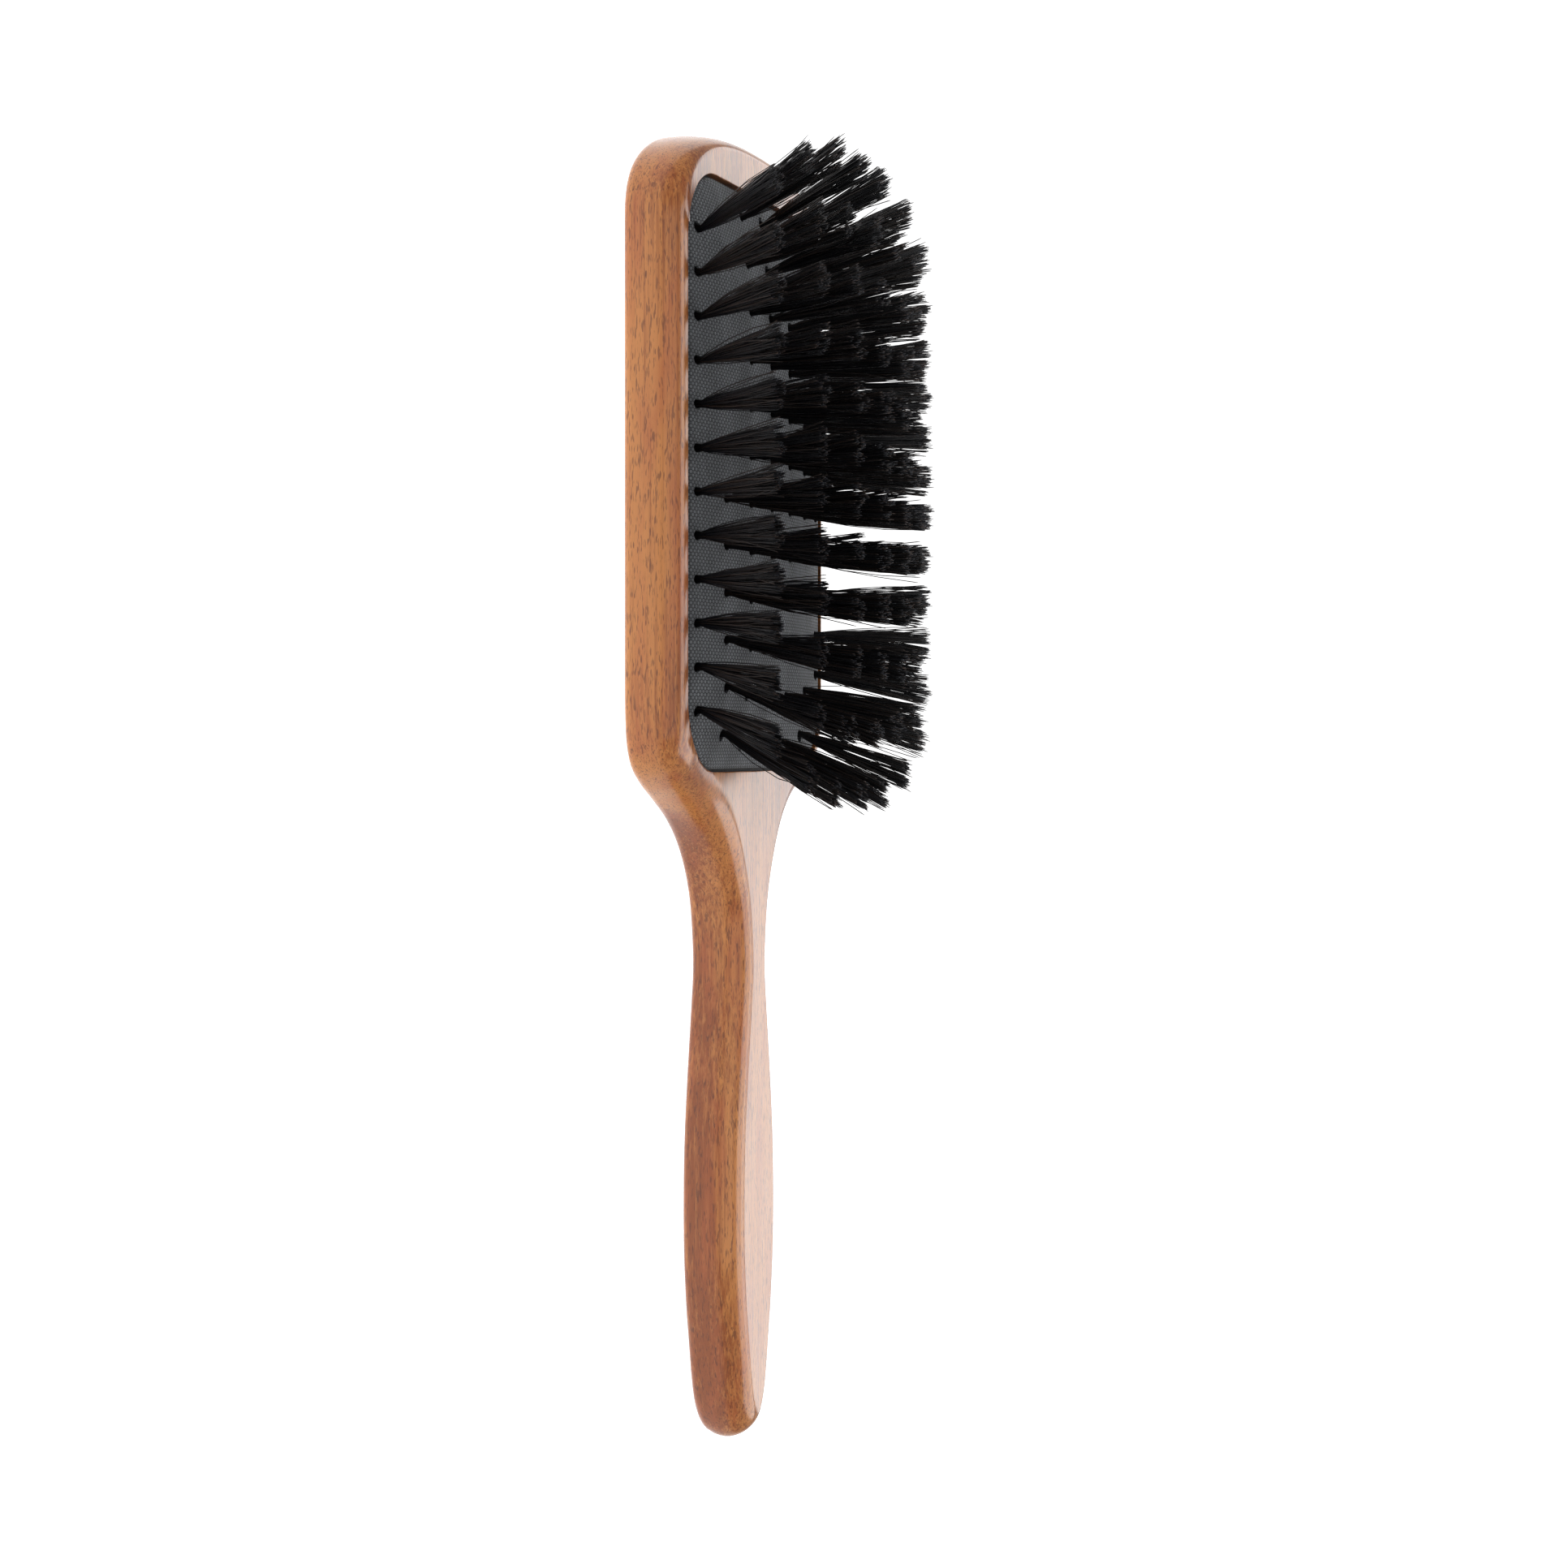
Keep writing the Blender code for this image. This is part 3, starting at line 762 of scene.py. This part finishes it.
tufts = {
    "rows": 12,
    "columns": 7,
    "columnPitch": 10.6 * mm,
    "rowPitch": 9.15 * mm,
    "outerPitchLoss": 1.1 * mm,
    "sideFan": math.radians(31.0),
    "endFan": math.radians(27.0),
    "outerFanLoss": 0.42,
    "length": 23.6 * mm,
    "neck": 0.2 * mm,            # the tuft leaves the face straight for this far
    "buttSink": 0.3 * mm,        # the bristles start this far inside the folded butts
    "strands": 130,
    "strandRadius": 0.105 * mm,
    "thicknessRange": (0.85, 1.15),
    "ringHeights": (0.125, 0.22, 0.42, 0.70, 0.975),      # where a bristle can bend, as shares
    "tipThickness": 0.55,
    "rootRadius": 0.62 * mm,
    "tipRadius": 3.25 * mm,
    "locks": 11,                 # strands lean together in this many locks
    "lockPull": 0.45,
    "strays": 0.11,
    "strayReach": (1.05, 1.42),
    "reach": (0.92, 1.12),
    "spin": 0.20,                # bristles cross each other by this much, in radians
    "bow": 0.32 * mm,
    "lockLengthSpread": 0.35 * mm,
    "lengthSpread": 0.35 * mm,
    "domedEnd": 0.6 * mm,        # the outer bristles are this much shorter
    "tuftLean": 0.25 * mm,
    "stripHeight": 1.0 * mm,     # folded butts under the rubber
    "stripHalf": 0.8 * mm,
    "stripEnd": 33.0 * mm,
    "stripDrop": 2.6 * mm,       # from the face to the top of the folded butts
    "stripCuts": 24,
    "stripBevel": 0.25 * mm,
    "seed": 11,
}


def roundedDepth(x, y, halfWidth, halfLength, corner):
    # how far a point lies inside a rectangle with round corners
    qx = np.abs(x) - (halfWidth - corner)
    qy = np.abs(y) - (halfLength - corner)
    outside = np.hypot(np.maximum(qx, 0), np.maximum(qy, 0))
    return corner - outside - np.minimum(np.maximum(qx, qy), 0)


def pocketDepth(x, y):
    halfWidth, halfLength = woodenBody["pocketHalf"]
    return roundedDepth(x, y, halfWidth, halfLength, woodenBody["pocketCorner"])


def faceTop(x, y):
    c = cushion
    depth = roundedDepth(x, y, c["halfWidth"], c["halfLength"], c["corner"])
    towardsEdge = np.maximum(0.0, 1.0 - depth / c["halfWidth"])
    return c["edgeHeight"] + c["rise"] * (1.0 - towardsEdge ** c["domePower"])


def tuftRoot(row, column):
    x = (column - (tufts["columns"] - 1) / 2) * tufts["columnPitch"]
    outer = abs(x) / (tufts["columnPitch"] * (tufts["columns"] - 1) / 2)
    pitch = tufts["rowPitch"] - tufts["outerPitchLoss"] * outer ** 3
    return x, (row - (tufts["rows"] - 1) / 2) * pitch


def tuftDirection(row, column):
    across = (column - (tufts["columns"] - 1) / 2) / ((tufts["columns"] - 1) / 2)
    along = (row - (tufts["rows"] - 1) / 2) / ((tufts["rows"] - 1) / 2)
    leanX = tufts["sideFan"] * across
    leanY = tufts["endFan"] * along * abs(along) ** 1.2 * (1.0 - tufts["outerFanLoss"] * abs(across) ** 3)
    direction = np.array((math.tan(leanX), math.tan(leanY), 1.0))
    return direction / np.linalg.norm(direction)


allRoots = [tuftRoot(row, column) for row in range(tufts["rows"]) for column in range(tufts["columns"])]


def roundedSheet(name, halfWidth, halfLength, corner):
    # a square grid drawn out to a rectangle with round corners
    columns = int(2 * halfWidth / cushion["meshSize"])
    rows = int(2 * halfLength / cushion["meshSize"])
    deselectAll()
    bpy.ops.mesh.primitive_grid_add(
        x_subdivisions=columns, y_subdivisions=rows, size=2.0, location=(0, 0, 0))
    piece = namePiece(name)
    points = getPoints(piece)
    x = np.abs(points[:, 0]) * halfWidth
    y = np.abs(points[:, 1]) * halfLength
    depth = np.minimum(halfWidth - x, halfLength - y)
    radius = np.maximum(corner - depth, 1e-9)
    centreX = halfWidth - depth - radius
    centreY = halfLength - depth - radius
    onSide = halfWidth - x <= halfLength - y
    turned = np.where(onSide, (y - centreY) / radius, 2.0 - (x - centreX) / radius)
    angle = np.clip(turned, 0.0, 2.0) * math.pi / 4
    curved = (x > centreX) & (y > centreY) & (depth < corner)
    x = np.where(curved, centreX + radius * np.cos(angle), x)
    y = np.where(curved, centreY + radius * np.sin(angle), y)
    points[:, 0] = np.copysign(x, points[:, 0])
    points[:, 1] = np.copysign(y, points[:, 1])
    setPoints(piece, points)
    return piece


def dimples(x, y):
    pull = np.zeros(len(x))
    for rootX, rootY in allRoots:
        near = np.exp(-((x - rootX) ** 2 + (y - rootY) ** 2) / cushion["dimpleReach"] ** 2)
        pull = np.maximum(pull, near)
    return pull * cushion["dimple"]


def holeCutters():
    c = cushion
    height = faceTop(0.0, 0.0) - c["cutterDrop"]
    deselectAll()
    bpy.ops.mesh.primitive_cylinder_add(
        vertices=12, radius=c["holeRadius"], depth=c["cutterDepth"], location=(0, 0, height))
    first = namePiece("holeCutter")
    settle(first)
    copies = [first]
    for _ in allRoots[1:]:
        copy = first.copy()
        copy.data = first.data.copy()
        bpy.context.collection.objects.link(copy)
        copies.append(copy)
    for number, copy in enumerate(copies):
        # drawn out the way its tuft leans, so that the tuft can sink with the cushion
        x, y = allRoots[number]
        direction = tuftDirection(*divmod(number, tufts["columns"]))
        run = direction[:2] / direction[2] * c["leanRoom"]
        length = np.linalg.norm(run)
        copy.location = (x + run[0] / 2, y + run[1] / 2, 0)
        copy.rotation_euler = (0, 0, math.atan2(run[1], run[0]) if length > 0.01 * mm else 0.0)
        copy.scale = (1 + length / (2 * c["holeRadius"]), 1, 1)
    cutter = joinPieces(first, copies[1:])
    settle(cutter)
    return cutter


def thicken(piece, thickness):
    wall = piece.modifiers.new("wall", "SOLIDIFY")
    wall.thickness = thickness
    wall.offset = -1.0
    wall.use_even_offset = True
    applyModifiers(piece)


def makeWovenFace():
    c = cushion
    drawnIn = c["faceDrawnIn"]
    halfWidth = c["halfWidth"] - drawnIn
    halfLength = c["halfLength"] - drawnIn
    corner = c["corner"] - drawnIn
    piece = roundedSheet("wovenFace", halfWidth, halfLength, corner)
    points = getPoints(piece)
    x, y = points[:, 0], points[:, 1]
    depth = np.maximum(roundedDepth(x, y, halfWidth, halfLength, corner), 0.0)
    rolled = np.maximum(0.0, 1.0 - depth / c["edgeRoll"])
    points[:, 2] = faceTop(x, y) - dimples(x, y) - c["edgeRollDrop"] * rolled ** 2
    setPoints(piece, points)
    thicken(piece, c["faceThick"])
    cutWith(piece, holeCutters())
    smoothByAngle(piece, c["smoothAngle"])
    dress(piece, materials["textile"], "cushion_textile", "brush_body", "cushion_fabric_face")
    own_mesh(piece)
    return piece


def makeRubberDiaphragm():
    c = cushion
    halfWidth = c["halfWidth"] - c["rubberDrawnIn"]
    halfLength = c["halfLength"] - c["rubberDrawnIn"]
    corner = c["corner"] - c["rubberDrawnIn"]
    piece = roundedSheet("rubberDiaphragm", halfWidth, halfLength, corner)
    points = getPoints(piece)
    x, y = points[:, 0], points[:, 1]
    points[:, 2] = faceTop(x, y) - dimples(x, y) - c["faceThick"] - c["rubberGap"]
    rim = roundedDepth(x, y, halfWidth, halfLength, corner) < 0.05 * mm
    points[rim, 2] -= c["rimDip"]
    setPoints(piece, points)
    # the rim turns down and out into the groove
    uses = {}
    for face in piece.data.polygons:
        for key in face.edge_keys:
            uses[key] = uses.get(key, 0) + 1
    selectWhere(piece, "EDGE", lambda line: uses[tuple(sorted(line.vertices))] == 1)
    bpy.ops.mesh.extrude_region_move(TRANSFORM_OT_translate={"value": (0, 0, -c["rimDrop"])})
    bpy.ops.mesh.extrude_region_move(TRANSFORM_OT_translate={"value": (0, 0, 0)})
    outward = (1 + c["rimReach"] / c["halfWidth"], 1 + c["rimReach"] / c["halfLength"], 1.0)
    bpy.ops.transform.resize(value=outward, center_override=(0, 0, 0))
    bpy.ops.object.mode_set(mode="OBJECT")
    thicken(piece, c["rubberThick"])
    cutWith(piece, holeCutters())
    smoothByAngle(piece, c["smoothAngle"])
    dress(piece, materials["rubber"], "cushion_rubber", "brush_body", "rubber_cushion")
    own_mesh(piece)
    return piece


# tufts

def strandForm():
    # one bristle, a metre long and a metre thick, bent and thinned for each copy
    deselectAll()
    bpy.ops.mesh.primitive_cylinder_add(vertices=3, radius=1.0, depth=1.0, location=(0, 0, 0.5))
    form = namePiece("strandForm")
    settle(form)
    bpy.ops.object.mode_set(mode="EDIT")
    for height in tufts["ringHeights"]:
        bpy.ops.mesh.select_all(action="SELECT")
        bpy.ops.mesh.bisect(plane_co=(0, 0, height), plane_no=(0, 0, 1))
    bpy.ops.object.mode_set(mode="OBJECT")
    points = getPoints(form)
    tip = points[:, 2] > 0.99
    points[tip, :2] *= tufts["tipThickness"]
    faces = [list(face.vertices) for face in form.data.polygons]
    bpy.data.objects.remove(form, do_unlink=True)
    return points, faces


def strandPaths(row, column, random, heights):
    # the middle line of each strand of one tuft, at the form's ring heights
    t = tufts
    count = t["strands"]
    rootX, rootY = tuftRoot(row, column)
    surface = float(faceTop(rootX, rootY))
    direction = tuftDirection(row, column)
    angle = random.uniform(0, 2 * math.pi, count)
    ring = np.sqrt(random.uniform(0, 1, count))
    stray = random.uniform(0, 1, count) < t["strays"]
    spin = angle + random.normal(0, t["spin"], count)
    unit = np.stack((np.cos(spin), np.sin(spin)), 1) * ring[:, None]
    lockAngle = random.uniform(0, 2 * math.pi, t["locks"])
    lockPlace = np.stack((np.cos(lockAngle), np.sin(lockAngle)), 1)
    lockPlace = lockPlace * np.sqrt(random.uniform(0.05, 1, (t["locks"], 1)))
    gap = np.linalg.norm(unit[:, None, :] - lockPlace[None, :, :], axis=2)
    lock = np.argmin(gap, axis=1)
    pull = np.where(stray, 0.0, t["lockPull"])[:, None]
    tipPlace = unit * (1 - pull) + lockPlace[lock] * pull
    strayReach = random.uniform(*t["strayReach"], count)
    tipPlace *= np.where(stray, strayReach, random.uniform(*t["reach"], count))[:, None]
    bow = random.normal(0, t["bow"], (count, 2)) * np.where(stray, 2.0, 1.0)[:, None]
    lockLength = random.normal(0, t["lockLengthSpread"], t["locks"])
    ownLength = random.normal(0, t["lengthSpread"], count)
    length = t["length"] + lockLength[lock] + ownLength - t["domedEnd"] * ring ** 2
    lean = random.normal(0, t["tuftLean"], 2)
    neckLength = t["stripDrop"] + t["neck"] + t["buttSink"]
    total = neckLength + length
    along = heights[None, :] * total[:, None]
    free = np.clip(along - neckLength, 0, None)
    share = free / length[:, None]
    side = np.stack((np.cos(angle), np.sin(angle)), 1) * (ring * t["rootRadius"])[:, None]
    tip = tipPlace * t["tipRadius"] + lean
    flat = side[:, None, :] * (1 - share)[..., None] + tip[:, None, :] * share[..., None]
    flat = flat + bow[:, None, :] * (share * (1 - share) * 4)[..., None]
    paths = np.empty((count, len(heights), 3))
    paths[..., :2] = np.array((rootX, rootY)) + flat + direction[:2] * free[..., None]
    start = surface - t["stripDrop"] - t["buttSink"]
    paths[..., 2] = start + np.minimum(along, neckLength) + direction[2] * free
    shade = random.uniform(0, 1, count) ** 2.2
    shade = np.where(stray, np.maximum(shade, 0.75), shade)
    return paths, shade


def makeButtStrip(row):
    # the folded butts that run under the rubber from tuft to tuft
    t = tufts
    deselectAll()
    bpy.ops.mesh.primitive_cube_add(size=1.0, location=(0, 0, 0))
    strip = namePiece("buttStrip")
    strip.scale = (2 * t["stripEnd"], 2 * t["stripHalf"], t["stripHeight"])
    settle(strip)
    bpy.ops.object.mode_set(mode="EDIT")
    for k in range(1, t["stripCuts"]):
        station = (2 * k / t["stripCuts"] - 1) * t["stripEnd"]
        bpy.ops.mesh.select_all(action="SELECT")
        bpy.ops.mesh.bisect(plane_co=(station, 0, 0), plane_no=(1, 0, 0))
    bpy.ops.object.mode_set(mode="OBJECT")
    softEdge = strip.modifiers.new("softEdge", "BEVEL")
    softEdge.width = t["stripBevel"]
    softEdge.segments = 2
    softEdge.limit_method = "ANGLE"
    applyModifiers(strip)
    points = getPoints(strip)
    outer = np.abs(points[:, 0]) / (t["columnPitch"] * (t["columns"] - 1) / 2)
    middle = (row - (t["rows"] - 1) / 2) * (t["rowPitch"] - t["outerPitchLoss"] * outer ** 3)
    points[:, 2] += faceTop(points[:, 0], middle) - t["stripDrop"] - t["stripHeight"] / 2
    points[:, 1] += middle
    setPoints(strip, points)
    return strip


def makeTuftRow(row, form):
    formPoints, formFaces = form
    heights = np.unique(np.round(formPoints[:, 2], 4))
    ringOf = np.searchsorted(heights, np.round(formPoints[:, 2], 4))
    random = np.random.default_rng(tufts["seed"] * 100 + row)
    allPoints, allShades = [], []
    for column in range(tufts["columns"]):
        paths, shade = strandPaths(row, column, random, heights)
        thickness = tufts["strandRadius"] * random.uniform(*tufts["thicknessRange"], len(paths))
        points = paths[:, ringOf, :].copy()
        points[..., :2] += formPoints[None, :, :2] * thickness[:, None, None]
        allPoints.append(points.reshape(-1, 3))
        allShades.append(np.repeat(shade, len(formPoints)))
    points = np.concatenate(allPoints)
    shades = np.concatenate(allShades)
    copies = len(points) // len(formPoints)
    faces = [
        [index + copy * len(formPoints) for index in face] for copy in range(copies) for face in formFaces
    ]
    name = f"bristleTufts{row + 1:02d}"
    mesh = bpy.data.meshes.new(name)
    mesh.from_pydata(points.tolist(), [], faces)
    along = np.tile(formPoints[:, 2], copies)
    for label, values in (("strandShade", shades), ("strandAlong", along)):
        attribute = mesh.attributes.new(label, "FLOAT", "POINT")
        attribute.data.foreach_set("value", values.astype(np.float32))
    piece = bpy.data.objects.new(name, mesh)
    bpy.context.collection.objects.link(piece)
    mesh.shade_smooth()
    piece = joinPieces(piece, [makeButtStrip(row)])
    dress(piece, materials["bristle"], "dark_bristle", "tuft_field", f"tuft_row_{row + 1:02d}")
    return piece


# everything, in order

materials = {
    "beech": makeBeech(),
    "textile": makeTextile(),
    "rubber": makeRubber(),
    "bristle": makeBristle(),
    "steel": makeSteel(),
}
makeCamera()
makeStudio()
print("camera, studio and materials ready")

makeWoodenBody()
print("wooden body shaped")

makeRubberDiaphragm()
makeWovenFace()
print("cushion made")

form = strandForm()
for row in range(tufts["rows"]):
    makeTuftRow(row, form)
    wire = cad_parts[f"draw_wire_{row + 1:02d}"]
    wire.data.materials.clear()
    wire.data.materials.append(materials["steel"])
print("bristle tufts planted")
